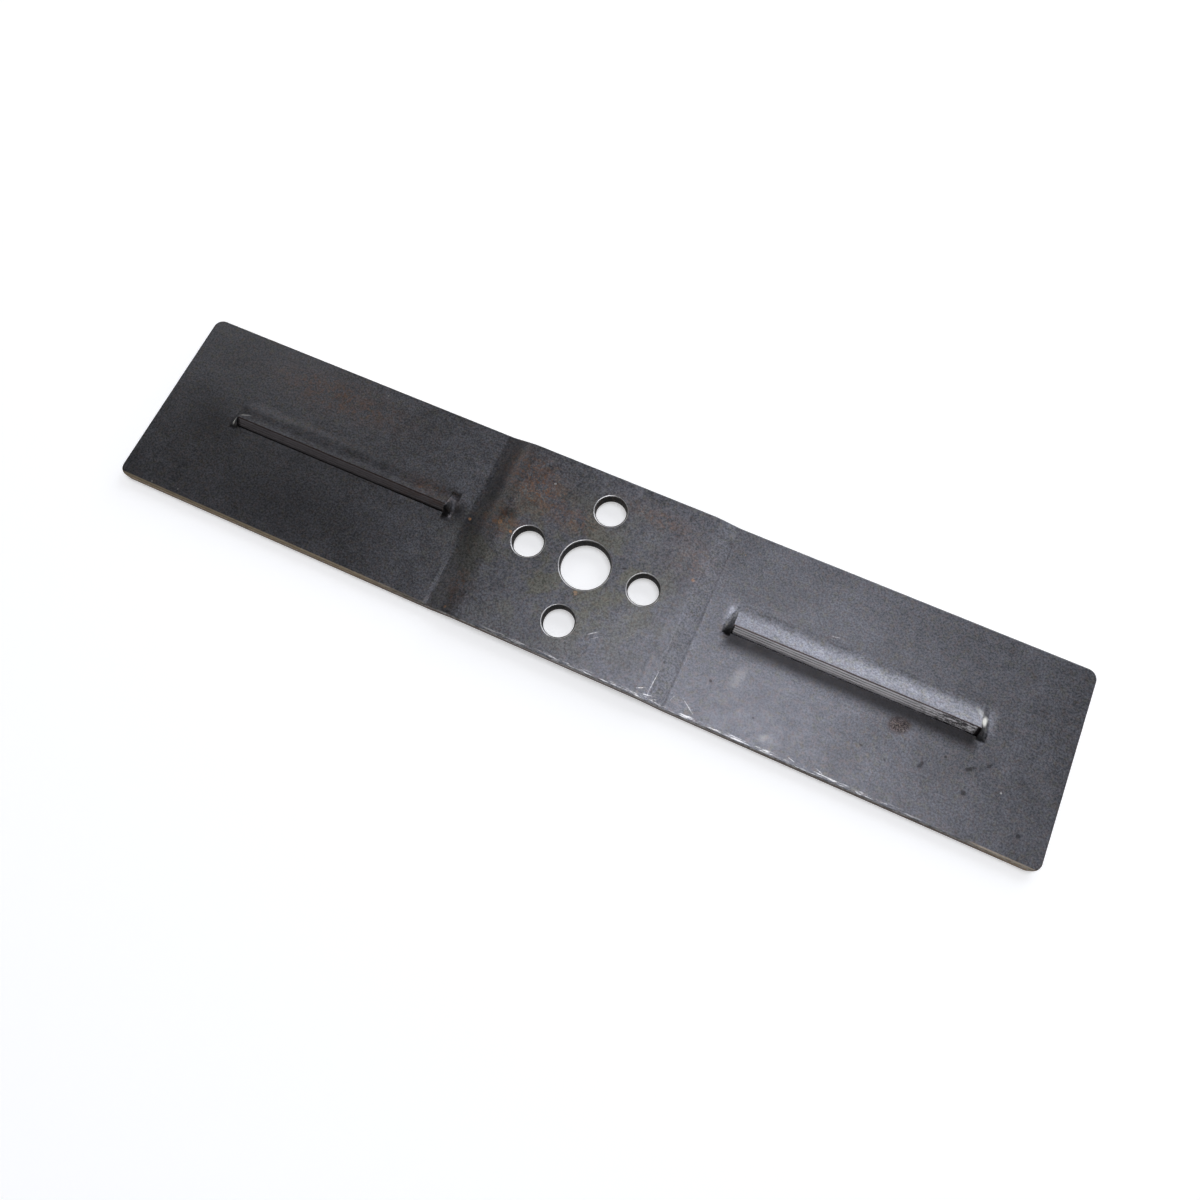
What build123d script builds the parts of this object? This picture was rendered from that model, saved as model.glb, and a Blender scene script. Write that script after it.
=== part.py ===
from build123d import *
import os
from collections import Counter
from math import cos, pi, radians, sin, sqrt

# Flat bar, millimetres: 9 3/4 in by 2 in, cut from 11 gauge steel sheet
blade_length = 247.65
blade_width = 50.8
sheet_thickness = 3.04
corner_radius = 2.5

# Hub, pressed up from the wings so that the clamping face stands clear of them
hub_rise = 1.3
hub_flat_reach = 25.4
joggle_length = 6.35
hub_shoulder_radius = 14.0
hub_crease_radius = 4.0

# Punched holes: the spindle bore and the bolt holes around it
bore_diameter = 12.7
bolt_hole_diameter = 7.94
bolt_circle_diameter = 31.75
bolt_hole_count = 4

# Louvers: a slit near the middle line of each wing, with the sheet on one side of it curled up
slit_setback = 7.94
slit_length = 61.91
slit_offset = 1.3
slit_gap = 0.12
lip_root_width = 7.8
lip_end_width = 2.0
lip_rounding_length = 6.0
lip_angle_middle = 35.0
lip_angle_hub_end = 33.0
lip_angle_tip_end = 35.0
lip_lift_middle = -0.42
lip_lift_hub_end = -0.6
lip_lift_tip_end = -0.46
lip_shoulder_length = 2.4
lip_skirt_width = 1.2
lip_margin_width = 0.8
lip_rollover = 0.3

# Round edges that the punch leaves on the side that it enters from
edge_rollover = 0.35
hole_rollover = 0.5

# The cut outline is smooth to this depth below its rolled edge, and torn and leaning in below it
smooth_cut_depth = 0.8
fracture_taper = 0.12

# Heights above the surface that the wings lie on
wing_top = sheet_thickness
hub_top = sheet_thickness + hub_rise
fracture_height = sheet_thickness - edge_rollover - smooth_cut_depth

# Distances from the bore's axis along the blade
hub_crease_reach = hub_flat_reach + joggle_length
slit_start = hub_crease_reach + slit_setback
slit_end = slit_start + slit_length
slit_middle = (slit_start + slit_end) / 2
lip_patch_width = lip_root_width + lip_margin_width

# Share of the full lip height at each station down a shoulder
shoulder_shares = (1.0, 0.74, 0.32, 0.07, 0.0)

# Steps between the stations along a slit, which crowd towards its ends
crown_steps = 14

# Length of the curve handles as a share of the span: near enough a round bend
handle_share = 0.35


def bar_profile():
    """Side view of the bar: flat wings, sloping joggles and the raised hub, one sheet thick."""
    half = blade_length / 2
    under_side = FilletPolyline(
        (-half, 0),
        (-hub_crease_reach, 0),
        (-hub_flat_reach, hub_rise),
        (hub_flat_reach, hub_rise),
        (hub_crease_reach, 0),
        (half, 0),
        radius=[
            hub_crease_radius + sheet_thickness,
            hub_shoulder_radius,
            hub_shoulder_radius,
            hub_crease_radius + sheet_thickness,
        ],
    )
    return make_face(offset(under_side, amount=sheet_thickness, side=Side.LEFT))


def joggled_bar():
    """The bar with its pressed hub, cut to the blade's outline with rounded corners."""
    sheet = extrude(Plane.XZ * bar_profile(), amount=blade_width / 2, both=True)
    outline = RectangleRounded(blade_length, blade_width, corner_radius)
    blank = Pos(0, 0, -hub_top) * extrude(outline, amount=3 * hub_top)
    return sheet & blank


def punched_holes():
    """The spindle bore and the ring of bolt holes, each as a tool right through the hub."""
    depth = 3 * hub_top
    bore = Cylinder(bore_diameter / 2, depth)
    hole = Cylinder(bolt_hole_diameter / 2, depth)
    ring = PolarLocations(bolt_circle_diameter / 2, bolt_hole_count) * hole
    return [bore, *ring]


def is_hole_edge(edge):
    """True for the round edges of the punched holes, which all lie on the hub."""
    return edge.geom_type == GeomType.CIRCLE and abs(edge.center().X) < hub_flat_reach


def soften_edges(bar):
    """Round the upper edges of the outline and of the holes, as a punch leaves them."""
    upper_faces = [face for face in bar.faces() if face.normal_at().Z > 0.7]
    uses = Counter(edge for face in upper_faces for edge in face.edges())
    outline = [edge for edge, count in uses.items() if count == 1 and not is_hole_edge(edge)]
    bar = fillet(outline, min(edge_rollover, sheet_thickness / 3))
    mid_sheet = hub_top - sheet_thickness / 2
    holes = [edge for edge in bar.edges() if is_hole_edge(edge) and edge.center().Z > mid_sheet]
    return fillet(holes, min(hole_rollover, sheet_thickness / 3))


def taper_fracture(bar):
    """Lean the lower part of the cut outline inwards, where the sheet tore off its strip."""
    lower_faces = [face for face in bar.faces() if face.normal_at().Z < -0.7]
    uses = Counter(edge for face in lower_faces for edge in face.edges())
    outline = [edge for edge, count in uses.items() if count == 1 and not is_hole_edge(edge)]
    return chamfer(outline, fracture_height, fracture_taper)


def root_width(reach):
    """Width of a lip at a distance from its outer end, where its root line rounds off."""
    share = max(0.0, 1 - reach / lip_rounding_length)
    return lip_end_width + (lip_root_width - lip_end_width) * sqrt(1 - share**2)


def curl(x, root_y, root_z, end_y, end_z, bend):
    """A curve that leaves the sheet level near the root and ends at the lip's own slope."""
    reach = handle_share * (root_y - end_y)
    return Bezier(
        (x, lip_patch_width, root_z),
        (x, root_y, root_z),
        (x, root_y - reach, root_z),
        (x, end_y + reach * cos(bend), end_z - reach * sin(bend)),
        (x, end_y, end_z),
    )


def skirt(x, start_y, start_z, end_z):
    """A curve that falls from the lip's edge to the sheet on the other side of the slit line."""
    middle = (start_y - lip_skirt_width) / 2
    return Bezier(
        (x, start_y, start_z),
        (x, middle, start_z),
        (x, middle, end_z),
        (x, -lip_skirt_width, end_z),
    )


def lip_rise(angle, lift):
    """Height of a lip's upper edge above the sheet when it is curled up by its full angle."""
    return sheet_thickness * cos(radians(angle)) + lift


def crown_section(x, reach, angle, lift):
    """Section of the lip where the slit has freed it: its end is the sheared sheet edge."""
    bend = radians(angle)
    lower_z = wing_top + lip_rise(angle, lift) - sheet_thickness * cos(bend)
    upper_y = slit_gap + sheet_thickness * sin(bend)
    upper_z = lower_z + sheet_thickness * cos(bend)
    rolled_y = upper_y + lip_rollover * cos(bend)
    rolled_z = upper_z - lip_rollover * sin(bend)
    face_y = upper_y - lip_rollover * sin(bend)
    face_z = upper_z - lip_rollover * cos(bend)
    upper = curl(x, root_width(reach), wing_top, rolled_y, rolled_z, bend)
    lower = curl(x, root_width(reach), wing_top - sheet_thickness, slit_gap, lower_z, bend)
    rolled = Bezier((x, rolled_y, rolled_z), (x, upper_y, upper_z), (x, face_y, face_z))
    face = Line((x, face_y, face_z), (x, slit_gap, lower_z))
    root_wall = Line(lower @ 0, upper @ 0)
    return Wire([upper, rolled, face, lower, root_wall])


def shoulder_section(x, reach, angle, lift, share):
    """Section past the slit's end, where the sheet still joins the lip to the other side."""
    bend = radians(angle) * share
    rise = lip_rise(angle, lift) * share
    lower_z = wing_top + rise - sheet_thickness * cos(bend)
    upper_y = slit_gap + sheet_thickness * sin(bend)
    upper = curl(x, root_width(reach), wing_top, upper_y, wing_top + rise, bend)
    lower = curl(x, root_width(reach), wing_top - sheet_thickness, slit_gap, lower_z, bend)
    upper_fall = skirt(x, upper_y, wing_top + rise, wing_top)
    lower_fall = skirt(x, slit_gap, lower_z, wing_top - sheet_thickness)
    far_wall = Line(upper_fall @ 1, lower_fall @ 1)
    root_wall = Line(lower @ 0, upper @ 0)
    return Wire([upper, upper_fall, far_wall, lower_fall, lower, root_wall])


def shoulder(start_x, outward, angle, lift):
    """The steep end of a lip, from its full height at the slit's end down to the flat sheet."""
    pitch = lip_shoulder_length / (len(shoulder_shares) - 1)
    sections = [
        shoulder_section(
            start_x + outward * pitch * step,
            lip_shoulder_length - pitch * step,
            angle,
            lift,
            share,
        )
        for step, share in enumerate(shoulder_shares)
    ]
    return Solid.make_loft(sections)


def crown():
    """The freed part of the lip, along the slit, a little higher in its middle than at its ends."""
    sections = []
    for step in range(crown_steps + 1):
        along = -cos(pi * step / crown_steps)
        end_angle, end_lift = (
            (lip_angle_hub_end, lip_lift_hub_end)
            if along < 0
            else (lip_angle_tip_end, lip_lift_tip_end)
        )
        angle = lip_angle_middle + (end_angle - lip_angle_middle) * along**2
        lift = lip_lift_middle + (end_lift - lip_lift_middle) * along**2
        reach = lip_shoulder_length + slit_length / 2 * (1 - abs(along))
        sections.append(crown_section(slit_middle + slit_length / 2 * along, reach, angle, lift))
    return Solid.make_loft(sections)


def louver_lip():
    """The raised lip of the wing towards +X: a crowned middle between two steep shoulders."""
    hub_shoulder = shoulder(slit_start, -1, lip_angle_hub_end, lip_lift_hub_end)
    tip_shoulder = shoulder(slit_end, 1, lip_angle_tip_end, lip_lift_tip_end)
    return Pos(0, -slit_offset, 0) * (crown() + hub_shoulder + tip_shoulder)


def lip_window():
    """The flat sheet that a lip takes the place of, wider at its shoulders than at the slit."""
    length = slit_length + 2 * lip_shoulder_length
    corner = (Align.CENTER, Align.MIN, Align.MIN)
    free_part = Box(slit_length, lip_patch_width, sheet_thickness, align=corner)
    whole_part = Box(length, lip_patch_width + lip_skirt_width, sheet_thickness, align=corner)
    slit_strip = Box(slit_length, lip_skirt_width, sheet_thickness, align=corner)
    shoulders = Pos(0, -lip_skirt_width, 0) * (whole_part - slit_strip)
    return Pos(slit_middle, -slit_offset, 0) * (free_part + shoulders)


def edger_blade():
    """The whole blade: bar, holes, softened edges, and a louver on each wing."""
    bar = joggled_bar()
    for tool in punched_holes():
        bar = bar - tool
    bar = taper_fracture(soften_edges(bar))
    window = lip_window()
    lip = louver_lip()
    bar = bar - window - mirror(window, Plane.YZ)
    return bar + lip + mirror(lip, Plane.YZ)


os.makedirs("parts", exist_ok=True)
export_step(edger_blade(), "parts/edger_blade.step")
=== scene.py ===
from math import cos, pi, radians, sin

import bpy
from mathutils import Matrix, Vector


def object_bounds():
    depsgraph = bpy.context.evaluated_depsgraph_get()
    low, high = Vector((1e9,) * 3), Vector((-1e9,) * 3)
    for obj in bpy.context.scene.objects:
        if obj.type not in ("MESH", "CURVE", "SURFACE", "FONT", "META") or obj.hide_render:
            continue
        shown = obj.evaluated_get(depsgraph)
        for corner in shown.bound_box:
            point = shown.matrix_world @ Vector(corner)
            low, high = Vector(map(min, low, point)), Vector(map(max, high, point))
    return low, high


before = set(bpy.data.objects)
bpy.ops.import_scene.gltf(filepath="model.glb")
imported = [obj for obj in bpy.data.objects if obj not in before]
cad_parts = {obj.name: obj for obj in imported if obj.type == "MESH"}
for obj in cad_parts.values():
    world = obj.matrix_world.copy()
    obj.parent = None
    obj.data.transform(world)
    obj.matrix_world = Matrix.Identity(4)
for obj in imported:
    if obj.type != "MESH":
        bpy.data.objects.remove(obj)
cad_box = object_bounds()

MM = 0.001

# Blade, millimetres in its own frame: half its sides from the frame, the rest as in the CAD part
HALF_LENGTH = cad_box[1][0] / MM
HALF_WIDTH = cad_box[1][1] / MM
HUB_RISE = 1.3
HUB_FLAT_REACH = 25.4
JOGGLE_LENGTH = 6.35
HUB_CREASE_REACH = HUB_FLAT_REACH + JOGGLE_LENGTH
SLIT_SETBACK = 7.94
SLIT_LENGTH = 61.91
SLIT_START = HUB_CREASE_REACH + SLIT_SETBACK
SLIT_END = SLIT_START + SLIT_LENGTH
SLIT_Y = -1.3
LIP_WIDTH = 8.6
LIP_SKIRT_WIDTH = 1.2
LIP_SHOULDER_LENGTH = 2.4
FRACTURE_HEIGHT = 1.89

# Distances from the bore's axis that hold all the punched holes, along the blade and across it
HOLES_REACH = 21.0
HOLES_SIDE_REACH = 22.5

# Sheared face of a lip: how far it leans back from the slit line, and the lines drawn along it
LIP_FACE_DEPTH = 1.57
LIP_FACE_LINES = 4

# Floor: half its side in metres, its grey, and the light added for the eye and for reflections
FLOOR_HALF = 3.0
FLOOR_GREY = 0.8
FLOOR_LIFT = 0.45

# Room: its light near the floor and higher up, and the height at which it stops fading
ROOM_LOW_LIGHT = 0.70
ROOM_HIGH_LIGHT = 0.10
ROOM_FADE_HEIGHT = 0.42

# Tints of the two strongest lights, a little cooler than white
OVERHEAD_TINT = (0.97, 0.99, 1.06)
BACK_TINT = (0.96, 0.99, 1.07)

# Camera, millimetres: fitted to the outline and the holes in the photograph
CAMERA_PLACE = Vector((37.12, -62.84, 211.75))
CAMERA_RIGHT = Vector((0.9118, 0.4102, -0.0210))
CAMERA_UP = Vector((-0.3868, 0.8746, 0.2923))
CAMERA_LENS = 26.35
CAMERA_SENSOR = 36.0


class Graph:
    """The node tree of one material, with short calls that add nodes and join them up."""

    def __init__(self, material):
        material.use_nodes = True
        self.tree = material.node_tree
        self.tree.nodes.clear()

    def node(self, kind, **settings):
        """Adds a node of this kind and sets its own options."""
        made = self.tree.nodes.new(kind)
        for name, value in settings.items():
            setattr(made, name, value)
        return made

    def feed(self, socket, value):
        """Joins an output to a socket, or writes a plain value into it."""
        if isinstance(value, bpy.types.NodeSocket):
            self.tree.links.new(value, socket)
        else:
            socket.default_value = value

    def math(self, operation, first, second=0.0, third=0.0):
        """One sum, product, root or the like of up to three values."""
        made = self.node("ShaderNodeMath", operation=operation)
        for socket, value in zip(made.inputs, (first, second, third)):
            self.feed(socket, value)
        return made.outputs[0]

    def times(self, *values):
        """The product of several values."""
        total = values[0]
        for value in values[1:]:
            total = self.math("MULTIPLY", total, value)
        return total

    def plus(self, *values):
        """The sum of several values."""
        total = values[0]
        for value in values[1:]:
            total = self.math("ADD", total, value)
        return total

    def flip(self, value):
        """One minus the value."""
        return self.math("SUBTRACT", 1.0, value)

    def either(self, *masks):
        """The larger of several masks at each point."""
        total = masks[0]
        for mask in masks[1:]:
            total = self.math("MAXIMUM", total, mask)
        return total

    def ramp(self, value, low, high, bottom=0.0, top=1.0, smooth=True):
        """Runs from bottom to top while the value goes from low to high."""
        kind = "SMOOTHSTEP" if smooth else "LINEAR"
        made = self.node("ShaderNodeMapRange", interpolation_type=kind)
        for socket, number in zip(made.inputs, (value, low, high, bottom, top)):
            self.feed(socket, number)
        return made.outputs[0]

    def fade(self, value, low, high):
        """Falls from 1 to 0 while the value goes from low to high."""
        return self.ramp(value, low, high, 1.0, 0.0)

    def band(self, value, low, high, soft):
        """A mask that is 1 between low and high and fades over a soft width outside them."""
        rise = self.ramp(value, low - soft, low)
        return self.times(rise, self.fade(value, high, high + soft))

    def split(self, vector):
        """The three parts of a vector."""
        made = self.node("ShaderNodeSeparateXYZ")
        self.feed(made.inputs[0], vector)
        return made.outputs[0], made.outputs[1], made.outputs[2]

    def even(self, value):
        """A vector with the same value on each axis."""
        made = self.node("ShaderNodeCombineXYZ")
        for socket in made.inputs:
            self.feed(socket, value)
        return made.outputs[0]

    def vector_math(self, operation, first, second):
        """One sum, product or the like of two vectors; a dot product gives a plain value."""
        made = self.node("ShaderNodeVectorMath", operation=operation)
        self.feed(made.inputs[0], first)
        self.feed(made.inputs[1], second)
        return made.outputs["Value" if operation == "DOT_PRODUCT" else "Vector"]

    def scaled(self, vector, scale):
        """The vector times a number for each axis."""
        return self.vector_math("MULTIPLY", vector, scale)

    def noise(self, vector, size, detail=3.0, rough=0.5, warp=0.0):
        """Smooth noise whose blobs are about size millimetres across."""
        made = self.node("ShaderNodeTexNoise")
        self.feed(made.inputs["Vector"], vector)
        self.feed(made.inputs["Scale"], 1.0 / size)
        self.feed(made.inputs["Detail"], detail)
        self.feed(made.inputs["Roughness"], rough)
        self.feed(made.inputs["Distortion"], warp)
        return made.outputs["Fac"]

    def spot(self, vector, x, y, half_length, half_width, turn=0.0, soft=1.0):
        """A mask for one elongated mark on the flat: 1 at its middle, 0 from its edge on."""
        offset = self.vector_math("SUBTRACT", vector, (x, y, 0.0))
        ahead = Vector((cos(radians(turn)), sin(radians(turn)), 0.0))
        aside = Vector((-ahead.y, ahead.x, 0.0))
        along = self.vector_math("DOT_PRODUCT", offset, ahead / half_length)
        across = self.vector_math("DOT_PRODUCT", offset, aside / half_width)
        squared = self.math("MULTIPLY_ADD", along, along, self.times(across, across))
        return self.fade(self.math("SQRT", squared), 1.0 - soft, 1.0)

    def blend(self, factor, first, second):
        """A colour between first and second."""
        made = self.node("ShaderNodeMix", data_type="RGBA", blend_type="MIX")
        self.feed(made.inputs["Factor"], factor)
        self.feed(made.inputs["A"], first)
        self.feed(made.inputs["B"], second)
        return made.outputs["Result"]


def rgb(red, green, blue):
    """A colour socket's value, in linear light."""
    return (red, green, blue, 1.0)


# Colours in linear light
SCALE_DARK = rgb(0.066, 0.067, 0.073)
SCALE_LIGHT = rgb(0.108, 0.110, 0.124)
SCALE_OLIVE = rgb(0.094, 0.093, 0.076)
RUST_BROWN = rgb(0.150, 0.085, 0.056)
# Painted dark reflection on the lips' rolled edges, tinted like rust
RUST_TINTED_SHADE = rgb(0.052, 0.036, 0.030)
RUST_ORANGE = rgb(0.360, 0.190, 0.090)
WORN_STEEL = rgb(0.50, 0.49, 0.48)
EDGE_TAN = rgb(0.37, 0.30, 0.21)
# Painted highlight at the lips' outer ends
CREST_HIGHLIGHT_CREAM = rgb(0.92, 0.91, 0.84)
SHEARED_STEEL = rgb(0.92, 0.90, 0.94)
# Left sheared face, painted in shade
SHEARED_IN_SHADE = rgb(0.150, 0.138, 0.145)
SHEARED_GROOVE = rgb(0.025, 0.020, 0.022)
CUT_CREAM = rgb(0.30, 0.27, 0.25)
CUT_TAN = rgb(0.25, 0.175, 0.105)
CUT_BROWN = rgb(0.12, 0.090, 0.068)
TORN_TAN = rgb(0.170, 0.114, 0.070)
TORN_BROWN = rgb(0.070, 0.040, 0.032)
HOLE_BROWN = rgb(0.060, 0.040, 0.030)
# Near black: real grime, pits and rust rings, and also painted shade in front of the slits, in
# dark clouds and inside the holes
GRIME_AND_SHADE = rgb(0.012, 0.011, 0.011)
WHITE = rgb(1.0, 1.0, 1.0)

# Share of the colour below that each kind of mark hides where it is strongest
OLIVE_COVER = 0.8
FAINT_RUST_COVER = 0.15
RUST_GRAIN_COVER = 0.30
PIT_COVER = 0.65
BLOTCH_COVER = 0.25
BLOTCH_RING_COVER = 0.9
SMEAR_COVER = 0.45
NEAR_RIM_COVER = 0.85
FAR_RIM_COVER = 0.2
RIM_STRIP_COVER = 0.7
HOLE_RIM_COVER = 0.75
SLIT_END_SHADE_COVER = 0.86
LIP_EDGE_COVER = 0.9
GROOVE_COVER = 0.9
SHADED_FACE_GROOVE_COVER = 0.35
SHADED_FACE_RUST_COVER = 0.35
TEAR_COVER = 0.85

# How much brighter the scale is as a share, below zero darker: painted highlight and shade, on
# the lips partly from rubbing by forming
RIGHT_LIP_RUB_AND_HIGHLIGHT = 1.10
LEFT_LIP_RUB_AND_PAINTED_LIGHT = 0.35
RIGHT_RAMP_HIGHLIGHT = 0.56
RIGHT_SHOULDER_SHADE = -0.14

# How strongly the two fine noises fray the outlines of the pits
PIT_FRAYING = 1.8

# Gloss: roughness of the scale, how far the walls are above it and bare marks below it, and the
# reflection of the walls, which aren't metallic
SCALE_ROUGHNESS = (0.34, 0.42)
WALL_ROUGHNESS_GAIN = 0.28
BARE_ROUGHNESS_LOSS = 0.10
WALL_SPECULAR = 0.1

# Depths of the fine relief, millimetres
GRAIN_DEPTH = 0.014
DIMPLE_DEPTH = 0.022
WAVE_DEPTH = 0.12
GROOVE_DEPTH = 0.04
TEAR_DEPTH = 0.12

# Marks on the upper side, millimetres: x, y, half length, half width, turn in degrees, strength
SCRATCHES = (
    (9.0, -15.2, 1.9, 0.14, 38.0, 0.7),
    (10.1, -16.0, 1.5, 0.12, 38.0, 0.6),
    (27.3, -20.0, 4.6, 0.15, 86.0, 0.7),
    (25.0, -22.9, 1.6, 0.13, 24.0, 0.7),
    (27.2, -23.8, 1.9, 0.18, 12.0, 1.0),
    (29.0, -24.2, 1.2, 0.20, 30.0, 1.0),
    (37.1, -22.2, 4.0, 0.10, -36.0, 0.5),
    (17.6, -12.2, 1.8, 0.10, 52.0, 0.35),
    (33.0, -21.6, 1.4, 0.10, 66.0, 0.4),
    (64.0, -24.0, 1.5, 0.11, -14.0, 0.6),
    (71.0, -23.9, 1.4, 0.11, -20.0, 0.6),
    (63.5, 8.2, 1.5, 0.14, 12.0, 0.5),
    (71.0, 6.0, 1.2, 0.12, 20.0, 0.5),
)
PITS = (
    (91.8, -12.9, 1.9, 1.0, 60.0, 0.9),
    (102.6, -9.1, 2.2, 1.1, 30.0, 0.9),
    (106.6, -6.6, 2.8, 0.8, 50.0, 0.8),
    (102.8, -15.0, 1.4, 1.0, 0.0, 0.9),
    (117.0, -19.2, 1.2, 0.9, 0.0, 0.9),
    (39.7, -14.3, 0.7, 0.6, 0.0, 0.8),
    (52.3, -18.5, 0.7, 0.5, 0.0, 0.8),
    (112.2, 6.9, 2.6, 1.4, 60.0, 0.5),
    (83.8, -15.2, 1.1, 0.5, -40.0, 0.7),
    (77.7, -14.1, 1.5, 0.4, -20.0, 0.7),
    (9.4, 3.2, 1.3, 0.45, 20.0, 0.8),
    (-8.5, 2.0, 0.9, 0.6, 0.0, 0.6),
    (96.6, -8.8, 0.6, 0.6, 0.0, 0.9),
)
SMEARS = (
    (45.5, -10.9, 5.2, 2.4, 74.0, 0.30),
    (56.8, -22.0, 2.9, 1.7, 10.0, 0.45),
    (49.0, -3.6, 7.0, 1.6, 4.0, 0.15),
)
RUST_CLOUDS = (
    (-20.0, 15.0, 17.0, 11.0, -30.0, 1.0),
    (-24.0, 3.0, 9.0, 8.0, 20.0, 0.9),
    (-27.0, -18.0, 6.0, 9.0, 0.0, 0.5),
    (-8.0, 10.0, 12.0, 6.0, 0.0, 0.7),
    (12.0, 19.0, 22.0, 5.0, -6.0, 0.5),
    (24.0, 12.0, 13.0, 9.0, 0.0, 0.35),
    (-46.0, 3.0, 12.0, 5.0, 0.0, 0.6),
    (-80.0, 17.0, 34.0, 9.0, 0.0, 0.6),
)
# Painted shade in dark clouds: the lower left wing and its tip, the left ramp and hub, and round
# the left lip's inner end, as the marks above
SHADE_CLOUDS = (
    (-30.0, 13.0, 3.4, 15.0, 0.0, 0.45),
    (-24.0, 5.0, 4.0, 3.0, 30.0, 0.6),
    (-35.0, -1.0, 6.0, 5.0, 0.0, 0.5),
    (-108.0, -2.0, 15.0, 11.0, 0.0, 0.38),
    (-36.5, 0.5, 4.5, 4.0, 0.0, 0.85),
    (-76.0, -14.0, 48.0, 18.0, 0.0, 0.42),
)

# Painted highlights at the outer ends of the two lips, on the crest of each shoulder, as the
# marks above
LIP_CREST_HIGHLIGHTS = (
    (102.3, 2.7, 1.9, 0.95, 84.0, 1.0),
    (101.2, 4.4, 2.2, 0.90, -34.0, 0.2),
    (-102.4, 0.2, 2.0, 0.62, 80.0, 1.0),
    (-100.6, 2.0, 2.2, 0.35, 24.0, 0.25),
)

# Round specks, millimetres: x, y, radius, strength
LIGHT_SPECKS = (
    (-16.2, 17.1, 0.36, 1.0),
    (110.7, -11.5, 0.32, 0.8),
    (-68.7, 22.9, 0.30, 0.4),
    (-106.5, -23.4, 0.30, 0.5),
    (-114.0, -24.2, 0.30, 0.5),
)
RUST_SPECKS = (
    (-32.5, -0.1, 0.50, 0.9),
    (-24.7, 2.0, 0.80, 0.8),
    (-21.1, 0.6, 0.55, 0.9),
    (-27.4, -23.8, 0.50, 0.5),
    (0.7, -7.6, 0.80, 0.5),
    (35.7, 19.2, 0.30, 0.5),
    (23.5, 16.2, 0.60, 0.3),
    (26.1, 7.3, 0.70, 0.3),
    (-48.0, 2.3, 0.60, 0.3),
)

# Single areas, millimetres: x, y, half length, half width, turn in degrees
BLOTCH = (84.3, -6.0, 3.4, 2.7, 20.0)
OLIVE_AREA = (-4.0, -2.0, 44.0, 30.0, 0.0)
PALE_CUT_AREA = (20.0, -26.0, 40.0, 6.0, 0.0)


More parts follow.
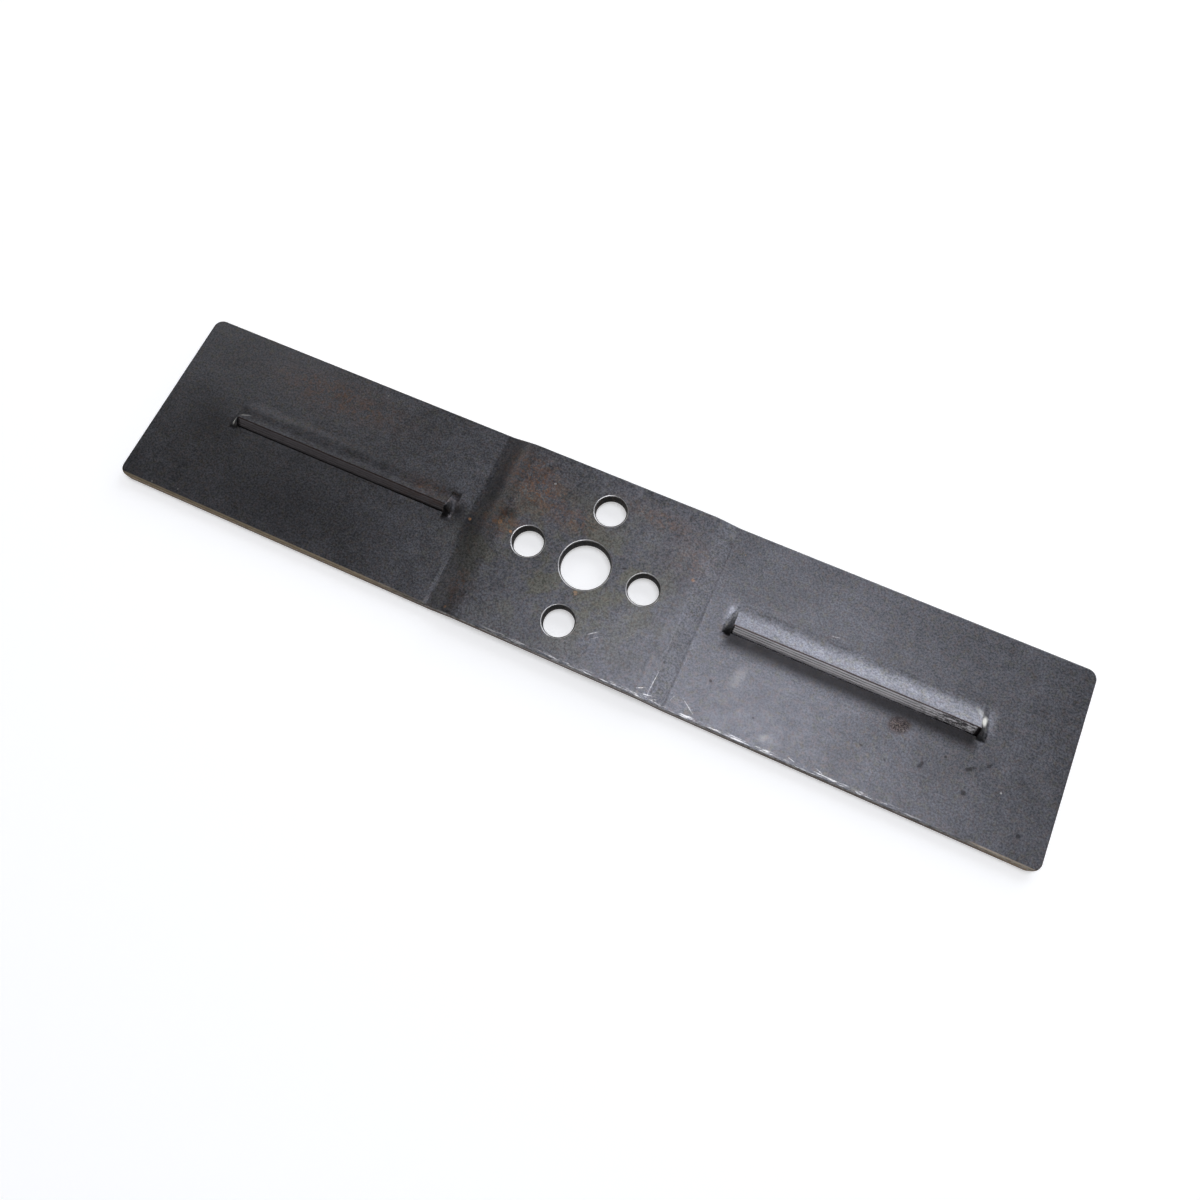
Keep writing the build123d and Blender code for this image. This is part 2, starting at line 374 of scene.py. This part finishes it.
class Steel:
    """The blade's finish: mill scale on the flats, bare sheared edges, rust, worn places and
    grime, with painted highlight and shade.
    """

    def __init__(self, material):
        self.graph = Graph(material)
        self.read_surface()
        self.make_grain()
        self.find_areas()

    def read_surface(self):
        """Place on the blade in millimetres, and which way the surface looks."""
        graph = self.graph
        source = graph.node("ShaderNodeTexCoord")
        self.place = graph.scaled(source.outputs["Object"], (1 / MM, 1 / MM, 1 / MM))
        self.x, self.y, self.z = graph.split(self.place)
        self.reach = graph.math("ABSOLUTE", self.x)
        self.side_reach = graph.math("ABSOLUTE", self.y)
        self.look_y, self.look_z = graph.split(source.outputs["Normal"])[1:]

    def make_grain(self):
        """The noises that more than one part of the finish uses, from coarse to fine."""
        graph = self.graph
        self.mottle = graph.noise(self.place, 3.0, detail=4.0, rough=0.65, warp=0.6)
        self.freckles = graph.noise(self.place, 1.1, rough=0.7)
        self.grain = graph.noise(self.place, 0.5, detail=2.0, rough=0.75)

    def find_areas(self):
        """Masks for the upper side, the cut walls, the holes and the lips' sheared faces."""
        graph = self.graph
        self.upper = graph.ramp(self.look_z, 0.35, 0.75)
        self.left = graph.fade(self.x, -6.0, 6.0)
        self.in_slit = graph.band(self.reach, SLIT_START - 0.05, SLIT_END + 0.05, soft=0.05)
        self.behind_slit = graph.math("SUBTRACT", self.y, SLIT_Y)
        lip_start = SLIT_START - LIP_SHOULDER_LENGTH
        lip_end = SLIT_END + LIP_SHOULDER_LENGTH
        near_lip = graph.times(
            graph.band(self.reach, lip_start, lip_end, soft=0.3),
            graph.band(self.behind_slit, -LIP_SKIRT_WIDTH, LIP_WIDTH, soft=0.3),
        )
        facing = graph.fade(self.look_y, -0.74, -0.62)
        open_face = graph.band(self.behind_slit, -0.1, 1.8, soft=0.1)
        self.lip_face = graph.times(self.in_slit, open_face, facing)
        steep = graph.fade(graph.math("ABSOLUTE", self.look_z), 0.35, 0.6)
        self.in_holes = graph.times(
            graph.fade(self.reach, HOLES_REACH, HOLES_REACH + 1.0),
            graph.fade(self.side_reach, HOLES_SIDE_REACH, HOLES_SIDE_REACH + 0.5),
        )
        self.wall = graph.times(steep, graph.flip(near_lip))
        self.hole_wall = graph.times(steep, self.in_holes)
        rise = graph.ramp(
            self.reach, HUB_FLAT_REACH, HUB_CREASE_REACH, bottom=HUB_RISE, top=0.0, smooth=False
        )
        self.height = graph.math("SUBTRACT", self.z, rise)

    def marks(self, rows, soft=1.0):
        """One mask for a list of elongated marks, each with its own strength."""
        graph = self.graph
        total = 0.0
        for x, y, half_length, half_width, turn, strength in rows:
            mask = graph.spot(self.place, x, y, half_length, half_width, turn, soft)
            total = graph.either(total, graph.times(mask, strength))
        return total

    def specks(self, rows):
        """One mask for a list of round specks, each with its own strength."""
        rounds = [(x, y, radius, radius, 0.0, strength) for x, y, radius, strength in rows]
        return self.marks(rows=rounds, soft=0.6)

    def scale_colour(self):
        """Mill scale: dark blue-grey with clouds, faint roll streaks and a fine grain, lightened
        and darkened by painted highlight and shade.
        """
        graph = self.graph
        clouds = graph.noise(self.place, 20.0, detail=4.0, rough=0.55, warp=0.4)
        streaks = graph.noise(graph.scaled(self.place, (0.06, 1.0, 1.0)), 1.6, rough=0.6)
        tone = graph.plus(
            graph.ramp(clouds, 0.35, 0.65, top=0.34),
            graph.ramp(self.mottle, 0.3, 0.7, top=0.34),
            graph.ramp(streaks, 0.3, 0.7, top=0.12),
            graph.ramp(self.freckles, 0.3, 0.7, top=0.20),
        )
        colour = graph.blend(tone, SCALE_DARK, SCALE_LIGHT)
        patches = graph.noise(self.place, 6.0, detail=4.0, rough=0.65)
        olive = graph.times(
            graph.ramp(patches, 0.44, 0.6),
            graph.spot(self.place, *OLIVE_AREA, soft=0.7),
            OLIVE_COVER,
        )
        dabs = graph.noise(self.place, 1.4, rough=0.7, warp=0.5)
        warm = graph.ramp(dabs, 0.50, 0.66, top=0.45)
        colour = graph.blend(graph.either(olive, warm), colour, SCALE_OLIVE)
        pepper = graph.ramp(self.grain, 0.30, 0.70, bottom=0.62, top=1.38)
        # Painted highlight and shade, with some rubbing on the lips, scale the colour here
        return graph.scaled(colour, graph.even(graph.times(pepper, self.rub_and_painted_light())))

    def rust_mask(self):
        """Thin brown rust in clouds round the hub and along the left wing."""
        graph = self.graph
        flakes = graph.noise(self.place, 2.2, detail=5.0, rough=0.75, warp=0.8)
        broken = graph.ramp(flakes, 0.43, 0.60, top=0.55)
        fine = graph.ramp(self.freckles, 0.48, 0.64)
        clouds = self.marks(RUST_CLOUDS, soft=0.95)
        grown = graph.times(clouds, graph.either(broken, fine))
        self.rust_grains = graph.times(clouds, graph.ramp(self.grain, 0.60, 0.68))
        return graph.either(grown, graph.times(fine, FAINT_RUST_COVER))

    def painted_shade_clouds(self):
        """Painted shade: darker clouds on the scale of the left wing and its tip, the left ramp
        and hub, and round the left lip's inner end.
        """
        graph = self.graph
        uneven = graph.ramp(self.mottle, 0.25, 0.6, bottom=0.5)
        return graph.times(self.marks(SHADE_CLOUDS), uneven, self.upper)

    def rust_crumbs(self):
        """Single crumbs of orange rust."""
        graph = self.graph
        return graph.times(
            self.specks(RUST_SPECKS), self.upper, graph.ramp(self.freckles, 0.40, 0.56)
        )

    def pits(self):
        """Eroded pits with ragged outlines."""
        graph = self.graph
        marks = self.marks(PITS)
        fraying = graph.plus(
            graph.times(self.freckles, PIT_FRAYING),
            graph.times(self.grain, PIT_FRAYING),
            -PIT_FRAYING,
        )
        ragged = graph.plus(marks, fraying)
        inside = graph.ramp(marks, 0.0, 0.2)
        return graph.times(graph.ramp(ragged, 0.40, 0.60), inside, self.upper)

    def with_blotch(self, colour):
        """The colour with a rusty blotch of broken dark rings in front of the right slit."""
        graph = self.graph
        blotch = graph.times(graph.spot(self.place, *BLOTCH, soft=0.5), self.upper)
        curls = graph.noise(self.place, 1.1, detail=4.0, rough=0.7, warp=1.6)
        rings = graph.times(
            graph.band(curls, 0.46, 0.56, soft=0.03), graph.ramp(self.grain, 0.36, 0.50)
        )
        colour = graph.blend(graph.times(blotch, BLOTCH_COVER), colour, RUST_BROWN)
        return graph.blend(graph.times(blotch, rings, BLOTCH_RING_COVER), colour, GRIME_AND_SHADE)

    def flats(self):
        """The colour of the flats, with the marks that the photograph shows on them."""
        graph = self.graph
        colour = graph.blend(self.rust_mask(), self.scale_colour(), RUST_BROWN)
        colour = graph.blend(graph.times(self.rust_grains, RUST_GRAIN_COVER), colour, RUST_ORANGE)
        # Painted shade in dark clouds on the left side
        colour = graph.blend(self.painted_shade_clouds(), colour, GRIME_AND_SHADE)
        colour = graph.blend(self.rust_crumbs(), colour, RUST_ORANGE)
        colour = graph.blend(graph.times(self.pits(), PIT_COVER), colour, GRIME_AND_SHADE)
        colour = self.with_blotch(colour)
        smears = graph.times(self.marks(SMEARS), self.upper, graph.ramp(self.mottle, 0.3, 0.6))
        return graph.blend(graph.times(smears, SMEAR_COVER), colour, WORN_STEEL)

    def bare_marks(self):
        """Scratches and bright specks, where bare steel shows through the scale."""
        graph = self.graph
        broken = graph.ramp(self.grain, 0.35, 0.6, bottom=0.35)
        scratches = graph.times(self.marks(SCRATCHES, soft=0.8), broken)
        return graph.times(graph.either(scratches, self.specks(LIGHT_SPECKS)), self.upper)

    def crest_highlights(self):
        """Painted highlights at the outer ends of the lips, on each shoulder's crest."""
        graph = self.graph
        return graph.times(self.marks(LIP_CREST_HIGHLIGHTS, soft=0.7), graph.ramp(self.look_z, 0.1, 0.4))

    def rim_wear_and_highlight(self):
        """Rolled upper edges of the outline and the holes, worn bright in places; the hole rims
        are lightened all round as painted highlight.
        """
        graph = self.graph
        rolled = graph.band(self.look_z, 0.45, 0.95, soft=0.04)
        outside = graph.flip(self.in_holes)
        near = graph.times(outside, graph.fade(self.look_y, -0.2, -0.1), NEAR_RIM_COVER)
        far = graph.times(outside, graph.ramp(self.look_y, 0.1, 0.2), FAR_RIM_COVER)
        gaps = graph.noise(self.place, 1.6, detail=4.0, rough=0.7)
        on_outline = graph.either(
            graph.ramp(self.side_reach, HALF_WIDTH - 1.0, HALF_WIDTH - 0.6),
            graph.ramp(self.reach, HALF_LENGTH - 0.9, HALF_LENGTH - 0.5),
        )
        outline = graph.times(
            on_outline, graph.either(near, far), graph.ramp(gaps, 0.40, 0.60, bottom=0.25)
        )
        streaks = graph.noise(
            graph.scaled(self.place, (0.25, 3.0, 1.0)), 1.0, detail=4.0, rough=0.7
        )
        strip = graph.times(
            graph.band(self.y, 0.5 - HALF_WIDTH, 0.9 - HALF_WIDTH, soft=0.35),
            graph.ramp(streaks, 0.52, 0.60),
            graph.band(self.x, 0.0, 80.0, soft=25.0),
            self.upper,
            RIM_STRIP_COVER,
        )
        rounded = graph.band(self.look_z, 0.88, 0.97, soft=0.02)
        holes = graph.times(self.in_holes, rounded, HOLE_RIM_COVER)
        return graph.either(graph.times(rolled, outline), strip, holes)

    def edge_strip(self):
        """Tan strip along the near edge towards both tips, as wide as the sheet is drawn down."""
        graph = self.graph
        strip = graph.times(
            graph.band(self.y, -0.2 - HALF_WIDTH, 0.55 - HALF_WIDTH, soft=0.3),
            graph.ramp(self.look_z, 0.2, 0.5),
        )
        tips = graph.either(
            graph.ramp(self.x, -60.0, -25.0, bottom=0.95, top=0.0),
            graph.ramp(self.x, 104.0, 112.0, top=0.5),
        )
        return graph.times(strip, tips)

    def rub_and_painted_light(self):
        """How much brighter or darker the scale is: partly from rubbing by forming on the lips,
        and painted highlight and shade on the lips, their inner ends, the ramps and the right
        shoulder.
        """
        graph = self.graph
        right = graph.flip(self.left)
        on_lip = graph.times(
            graph.band(self.reach, SLIT_START - 1.0, SLIT_END + 1.5, soft=3.0),
            graph.ramp(self.behind_slit, 1.4, 1.9),
            graph.fade(self.behind_slit, 5.0, LIP_WIDTH + 0.8),
        )
        uneven = graph.ramp(self.mottle, 0.3, 0.6, bottom=0.6)
        right_lip = graph.times(on_lip, right, uneven, RIGHT_LIP_RUB_AND_HIGHLIGHT)
        backwards = graph.ramp(self.behind_slit, 3.0, 6.0, bottom=1.0, top=-0.7)
        left_lip = graph.times(on_lip, self.left, backwards, LEFT_LIP_RUB_AND_PAINTED_LIGHT)
        inner_end = graph.times(
            graph.band(self.reach, SLIT_START - LIP_SHOULDER_LENGTH + 0.2, SLIT_START, soft=0.4),
            graph.band(self.behind_slit, 0.8, 6.0, soft=1.2),
            graph.ramp(self.left, 0.0, 1.0, bottom=0.8, top=-0.6),
        )
        right_ramp = graph.times(
            graph.ramp(self.reach, HUB_FLAT_REACH + 0.4, HUB_FLAT_REACH + 3.0),
            graph.fade(self.reach, HUB_CREASE_REACH - 0.5, HUB_CREASE_REACH + 0.1),
            right,
            RIGHT_RAMP_HIGHLIGHT,
        )
        right_shoulder = graph.times(
            graph.band(self.reach, HUB_FLAT_REACH - 1.4, HUB_FLAT_REACH + 0.2, soft=0.8),
            right,
            RIGHT_SHOULDER_SHADE,
        )
        left_ramp = graph.times(
            graph.ramp(self.reach, HUB_FLAT_REACH + 1.6, HUB_FLAT_REACH + 4.1),
            graph.fade(self.reach, HUB_CREASE_REACH + 1.4, HUB_CREASE_REACH + 2.0),
            self.left,
            graph.ramp(self.y, -22.0, -2.0, bottom=0.45, top=-0.42),
        )
        return graph.plus(
            1.0, right_lip, left_lip, inner_end, right_ramp, right_shoulder, left_ramp
        )

    def slit_painted_shade(self):
        """Painted shade: dark on the flat in front of each slit, where its lip shades it, and
        round the slit's inner end.
        """
        graph = self.graph
        front = graph.times(
            graph.ramp(self.behind_slit, -5.3, -1.5),
            graph.fade(self.behind_slit, 0.2, 0.5),
            graph.band(self.reach, SLIT_START + 0.5, SLIT_END - 1.0, soft=3.0),
            graph.ramp(self.left, 0.0, 1.0, bottom=0.86, top=0.15),
        )
        inner_end = graph.times(
            graph.ramp(self.reach, SLIT_START - 3.4, SLIT_START - 0.4),
            graph.fade(self.reach, SLIT_START, SLIT_START + 0.4),
            graph.band(self.behind_slit, -LIP_SKIRT_WIDTH, 0.4, soft=1.2),
            SLIT_END_SHADE_COVER,
        )
        return graph.times(graph.either(front, inner_end), self.upper)

    def lip_edge_painted_dark(self):
        """The rolled edge above a lip's sheared face: a painted dark reflection, tinted like dark
        rust.
        """
        graph = self.graph
        line = graph.band(self.behind_slit, 1.62, 1.98, soft=0.08)
        level = graph.ramp(self.look_z, 0.4, 0.6)
        return graph.times(line, self.in_slit, level, LIP_EDGE_COVER)

    def lip_colour(self):
        """Sheared face of a lip: bare steel drawn into fine lines, dark at its ends as painted
        shade; on the left wing painted in shade and rusted in places.
        """
        graph = self.graph
        wander = graph.noise(
            graph.scaled(self.place, (0.05, 0.0, 0.0)), 1.0, detail=2.0, rough=0.6
        )
        drift = graph.ramp(wander, 0.3, 0.7, bottom=-0.1, top=0.1)
        down = graph.times(self.behind_slit, LIP_FACE_LINES / LIP_FACE_DEPTH)
        line = graph.band(graph.math("FRACT", graph.plus(down, drift)), 0.42, 0.50, soft=0.13)
        faint = graph.noise(
            graph.scaled(self.place, (0.12, 1.6, 0.0)), 1.0, detail=2.0, rough=0.6
        )
        self.grooves = graph.times(line, graph.ramp(faint, 0.3, 0.6, bottom=0.45))
        bright = graph.blend(
            graph.times(self.grooves, GROOVE_COVER), SHEARED_STEEL, SHEARED_GROOVE
        )
        rips = graph.noise(graph.scaled(self.place, (0.5, 1.6, 1.0)), 0.9, detail=4.0, rough=0.75)
        tears = graph.times(
            graph.ramp(rips, 0.46, 0.56), graph.ramp(self.reach, 80.0, 96.0), TEAR_COVER
        )
        # Dark at both ends of the face: painted shade in the gaps there
        ends = graph.either(
            graph.ramp(self.reach, SLIT_END - 1.3, SLIT_END - 0.5),
            graph.fade(self.reach, SLIT_START + 0.1, SLIT_START + 0.5),
        )
        bright = graph.blend(graph.either(tears, ends), bright, SHEARED_GROOVE)
        # The left face: painted shade, with rust in places
        rusted = graph.ramp(self.mottle, 0.42, 0.6)
        inner = graph.fade(self.reach, SLIT_START + 4.0, SLIT_START + 22.0)
        shaded_face = graph.blend(graph.times(rusted, inner, SHADED_FACE_RUST_COVER), SHEARED_IN_SHADE, RUST_BROWN)
        shaded_face = graph.blend(graph.times(self.grooves, SHADED_FACE_GROOVE_COVER), shaded_face, GRIME_AND_SHADE)
        return graph.blend(self.left, bright, shaded_face)

    def wall_colour(self):
        """Cut outline: a smooth pale band above a torn brown one, tan towards the tips; the hole
        walls near black as painted shade, brown in places.
        """
        graph = self.graph
        ripple = graph.noise(graph.scaled(self.place, (1.0, 1.0, 0.15)), 0.8, rough=0.6)
        border = graph.plus(FRACTURE_HEIGHT - 0.15, graph.times(ripple, 0.5))
        self.torn = graph.ramp(graph.math("SUBTRACT", border, self.height), -0.08, 0.08)
        patches = graph.noise(self.place, 7.0, detail=4.0, rough=0.6)
        tips = graph.either(graph.fade(self.x, -70.0, -20.0), graph.ramp(self.x, 104.0, 114.0))
        tan = graph.times(tips, graph.ramp(patches, 0.2, 0.5))
        pepper = graph.ramp(self.grain, 0.3, 0.7, bottom=0.7, top=1.25)
        rough = graph.scaled(graph.blend(tan, TORN_BROWN, TORN_TAN), graph.even(pepper))
        pale = graph.either(
            graph.spot(self.place, *PALE_CUT_AREA, soft=0.5), graph.ramp(ripple, 0.5, 0.7)
        )
        smooth = graph.blend(pale, graph.blend(tan, CUT_BROWN, CUT_TAN), CUT_CREAM)
        outline = graph.blend(self.torn, smooth, rough)
        # Painted shade inside the holes: near-black walls, brown in places
        inside = graph.blend(graph.ramp(ripple, 0.45, 0.75), GRIME_AND_SHADE, HOLE_BROWN)
        return graph.blend(self.hole_wall, outline, inside)

    def roughness(self, bare):
        """Satin scale, duller on the cut walls and smoother where bare steel shows."""
        graph = self.graph
        return graph.plus(
            graph.ramp(self.grain, 0.3, 0.7, *SCALE_ROUGHNESS),
            graph.ramp(self.mottle, 0.3, 0.7, bottom=-0.03, top=0.04),
            graph.times(self.wall, WALL_ROUGHNESS_GAIN),
            graph.times(bare, -BARE_ROUGHNESS_LOSS),
        )

    def relief(self):
        """Height of the fine relief, millimetres: grain, dimples, waves, grooves and tears."""
        graph = self.graph
        waves = graph.noise(self.place, 9.0, detail=2.0)
        return graph.plus(
            graph.times(self.grain, GRAIN_DEPTH),
            graph.times(self.freckles, DIMPLE_DEPTH),
            graph.times(waves, WAVE_DEPTH),
            graph.times(self.grooves, self.lip_face, -GROOVE_DEPTH),
            graph.times(self.freckles, self.wall, self.torn, TEAR_DEPTH),
        )


def steel_material():
    """The one finish of the blade, wired to its shader."""
    material = bpy.data.materials.new("dark_mill_scale_steel")
    steel = Steel(material)
    graph = steel.graph

    rim_wear_and_sheen = steel.rim_wear_and_highlight()
    bare = steel.bare_marks()
    colour = steel.flats()
    worn = graph.blend(graph.fade(steel.x, -60.0, -20.0), WORN_STEEL, CUT_TAN)
    # Worn rims; round the holes this is painted highlight
    colour = graph.blend(rim_wear_and_sheen, colour, worn)
    colour = graph.blend(bare, colour, WORN_STEEL)
    colour = graph.blend(steel.edge_strip(), colour, EDGE_TAN)
    crest_highlights = steel.crest_highlights()
    # Painted shade in front of each slit and round its inner end
    colour = graph.blend(steel.slit_painted_shade(), colour, GRIME_AND_SHADE)
    # Painted highlight on the crest at each lip's outer end
    colour = graph.blend(crest_highlights, colour, CREST_HIGHLIGHT_CREAM)
    # Painted dark reflection along each lip's rolled edge, rust-tinted
    colour = graph.blend(steel.lip_edge_painted_dark(), colour, RUST_TINTED_SHADE)
    colour = graph.blend(steel.wall, colour, steel.wall_colour())
    colour = graph.blend(steel.lip_face, colour, steel.lip_colour())

    metallic = graph.flip(graph.either(steel.wall, crest_highlights))
    rough = steel.roughness(bare)
    bump = graph.node("ShaderNodeBump")
    graph.feed(bump.inputs["Strength"], 1.0)
    graph.feed(bump.inputs["Distance"], MM)
    graph.feed(bump.inputs["Height"], steel.relief())

    shader = graph.node("ShaderNodeBsdfPrincipled")
    graph.feed(shader.inputs["Base Color"], colour)
    graph.feed(shader.inputs["Metallic"], metallic)
    graph.feed(shader.inputs["Roughness"], rough)
    graph.feed(shader.inputs["Normal"], bump.outputs["Normal"])
    graph.feed(shader.inputs["Specular IOR Level"], WALL_SPECULAR)
    output = graph.node("ShaderNodeOutputMaterial")
    graph.feed(output.inputs["Surface"], shader.outputs[0])
    return material


def floor_material():
    """White to the eye and to metal, while it still takes the object's shadow."""
    material = bpy.data.materials.new("pale_floor")
    graph = Graph(material)
    path = graph.node("ShaderNodeLightPath")
    seen = graph.either(
        path.outputs["Is Camera Ray"],
        path.outputs["Is Glossy Ray"],
        path.outputs["Is Transmission Ray"],
    )
    paint = graph.node("ShaderNodeBsdfDiffuse")
    graph.feed(paint.inputs["Color"], rgb(FLOOR_GREY, FLOOR_GREY, FLOOR_GREY))
    lift = graph.node("ShaderNodeEmission")
    graph.feed(lift.inputs["Color"], WHITE)
    graph.feed(lift.inputs["Strength"], graph.times(seen, FLOOR_LIFT))
    both = graph.node("ShaderNodeAddShader")
    graph.feed(both.inputs[0], paint.outputs[0])
    graph.feed(both.inputs[1], lift.outputs[0])
    output = graph.node("ShaderNodeOutputMaterial")
    graph.feed(output.inputs["Surface"], both.outputs[0])
    return material


def add_floor():
    """A plain floor under the blade."""
    low = cad_box[0][2]
    signs = ((-1, -1), (1, -1), (1, 1), (-1, 1))
    corners = [(x * FLOOR_HALF, y * FLOOR_HALF, low) for x, y in signs]
    mesh = bpy.data.meshes.new("floor")
    mesh.from_pydata(corners, [], [(0, 1, 2, 3)])
    mesh.materials.append(floor_material())
    floor = bpy.data.objects.new("floor", mesh)
    bpy.context.scene.collection.objects.link(floor)


def softbox(name, direction, distance, width, height, radiance, tint=WHITE[:3]):
    """A soft light that faces the blade: distance and sides in metres, brightness of its face."""
    light = bpy.data.lights.new(name, "AREA")
    light.shape = "RECTANGLE"
    light.size = width
    light.size_y = height
    light.energy = radiance * width * height * pi
    light.color = tint
    lamp = bpy.data.objects.new(name, light)
    towards = Vector(direction).normalized()
    lamp.location = towards * distance
    lamp.rotation_euler = towards.to_track_quat("Z", "Y").to_euler()
    bpy.context.scene.collection.objects.link(lamp)


def add_room():
    """A dim room whose walls are pale towards the floor."""
    world = bpy.data.worlds.new("room")
    world.use_nodes = True
    tree = world.node_tree
    background = tree.nodes["Background"]
    source = tree.nodes.new("ShaderNodeTexCoord")
    parts = tree.nodes.new("ShaderNodeSeparateXYZ")
    fade = tree.nodes.new("ShaderNodeMapRange")
    fade.interpolation_type = "SMOOTHSTEP"
    fade.inputs["From Max"].default_value = ROOM_FADE_HEIGHT
    fade.inputs["To Min"].default_value = ROOM_LOW_LIGHT
    fade.inputs["To Max"].default_value = ROOM_HIGH_LIGHT
    tree.links.new(source.outputs["Generated"], parts.inputs[0])
    tree.links.new(parts.outputs[2], fade.inputs["Value"])
    tree.links.new(fade.outputs[0], background.inputs["Strength"])
    background.inputs["Color"].default_value = WHITE
    bpy.context.scene.world = world


def add_lights():
    """A soft light nearly overhead, a large one behind, and two weak ones at the sides."""
    softbox("overhead", (0.098, 0.076, 0.97), 1.2, 0.48, 0.45, radiance=8.3, tint=OVERHEAD_TINT)
    softbox("back", (0.22, 0.84, 0.50), 1.3, 0.80, 1.10, radiance=2.8, tint=BACK_TINT)
    softbox("back_left", (-0.66, 0.48, 0.74), 1.3, 0.43, 0.34, radiance=2.2)
    softbox("low_right", (0.85, 0.42, 0.32), 1.3, 0.5, 0.3, radiance=1.2)


def add_camera():
    """The photograph's view, with no shift and everything in focus."""
    data = bpy.data.cameras.new("camera")
    data.lens = CAMERA_LENS
    data.sensor_width = CAMERA_SENSOR
    data.sensor_fit = "HORIZONTAL"
    data.clip_start = 0.01
    camera = bpy.data.objects.new("camera", data)
    right = CAMERA_RIGHT.normalized()
    back = right.cross(CAMERA_UP).normalized()
    up = back.cross(right)
    turn = Matrix((right, up, back)).transposed().to_4x4()
    camera.matrix_world = Matrix.Translation(CAMERA_PLACE * MM) @ turn
    bpy.context.scene.collection.objects.link(camera)
    bpy.context.scene.camera = camera


def dress_blade():
    """Gives the CAD blade its finish."""
    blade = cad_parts["edger_blade"]
    finish = steel_material()
    for slot in blade.material_slots:
        slot.material = finish


dress_blade()
add_floor()
add_lights()
add_room()
add_camera()
bpy.context.scene.view_settings.view_transform = "Standard"
